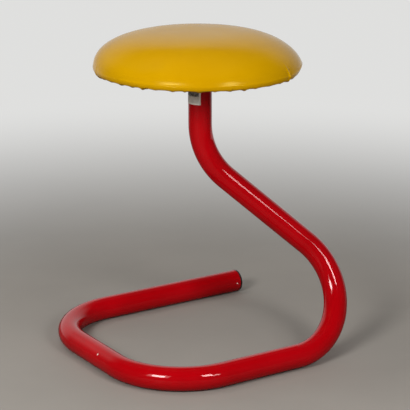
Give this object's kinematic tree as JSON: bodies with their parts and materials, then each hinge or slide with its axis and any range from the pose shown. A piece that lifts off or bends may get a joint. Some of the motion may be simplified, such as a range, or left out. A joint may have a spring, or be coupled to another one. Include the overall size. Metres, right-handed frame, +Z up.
{
  "type": "tubular stool",
  "caption": "Low stool with a round padded seat on a bent steel tube that drops from an upright post along a slanting run into an open floor loop.",
  "frame": {"origin": "on the floor at the middle of the base's outline", "axes": "+Z up, +X along the front floor run towards the slanting run, -Y to the front"},
  "size_m": [0.411, 0.403, 0.525],
  "materials": {
    "red_paint": "glossy red enamel on steel",
    "black_plastic": "moulded, satin",
    "yellow_vinyl": "smooth glossy vinyl",
    "foam": "open-cell foam",
    "plywood": "raw plywood",
    "zinc": "bright zinc plating"
  },
  "bodies": {
    "root": {"frame_tube": "red_paint", "end_plug": "black_plastic", "seat_plate": "red_paint", "seat_board": "plywood", "seat_foam": "foam", "seat_cover": "yellow_vinyl", "seat_bolt_1": "zinc", "seat_bolt_2": "zinc", "seat_bolt_3": "zinc", "seat_bolt_4": "zinc", "spring_washer_1": "zinc", "spring_washer_2": "zinc", "spring_washer_3": "zinc", "spring_washer_4": "zinc", "tee_nut_1": "zinc", "tee_nut_2": "zinc", "tee_nut_3": "zinc", "tee_nut_4": "zinc"}
  },
  "joints": []
}
